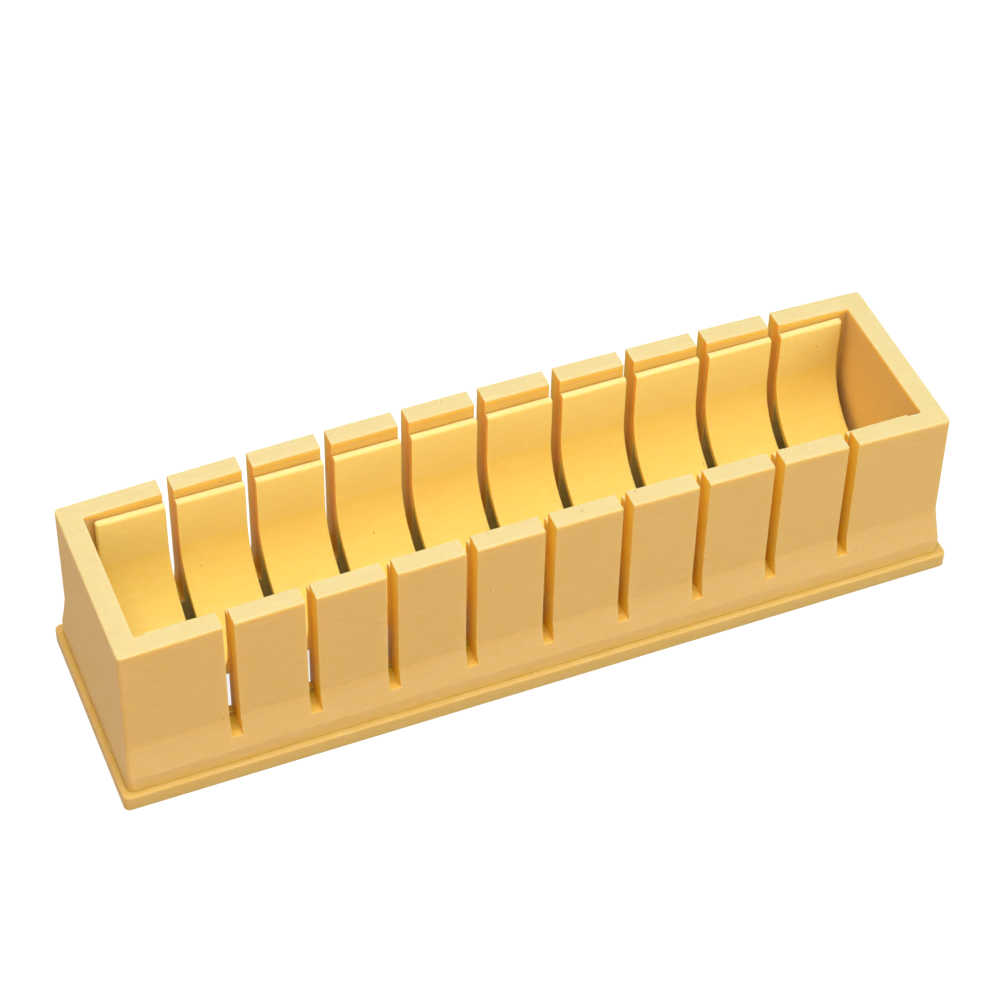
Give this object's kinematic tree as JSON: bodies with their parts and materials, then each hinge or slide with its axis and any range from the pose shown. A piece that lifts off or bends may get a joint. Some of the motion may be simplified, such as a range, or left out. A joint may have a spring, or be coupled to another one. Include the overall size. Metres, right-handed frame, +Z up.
{
  "type": "sushi roll mold, lower half with knife-guide frame",
  "caption": "Open plastic mold for rolled sushi: a lipped base tray, a tall frame with knife slots in both long walls, and a half-round former inside.",
  "frame": {"origin": "centre of the base tray's underside, at table height", "axes": "+X along the mold, +Y across it, +Z up out of its mouth"},
  "size_m": [0.23, 0.062, 0.0543],
  "materials": {
    "tray_plastic": "satin",
    "frame_plastic": "satin",
    "former_plastic": "satin"
  },
  "bodies": {
    "base": {"base_tray": "tray_plastic"},
    "frame": {"slotted_frame": "frame_plastic"},
    "former": {"lower_former": "former_plastic"}
  },
  "joints": [
    {"name": "frame_lift", "type": "slide", "parent": "base", "child": "frame", "axis": [0, 0, 1], "range_m": [0, 0.06]},
    {"name": "former_lift", "type": "slide", "parent": "base", "child": "former", "axis": [0, 0, 1], "range_m": [0, 0.06]}
  ]
}
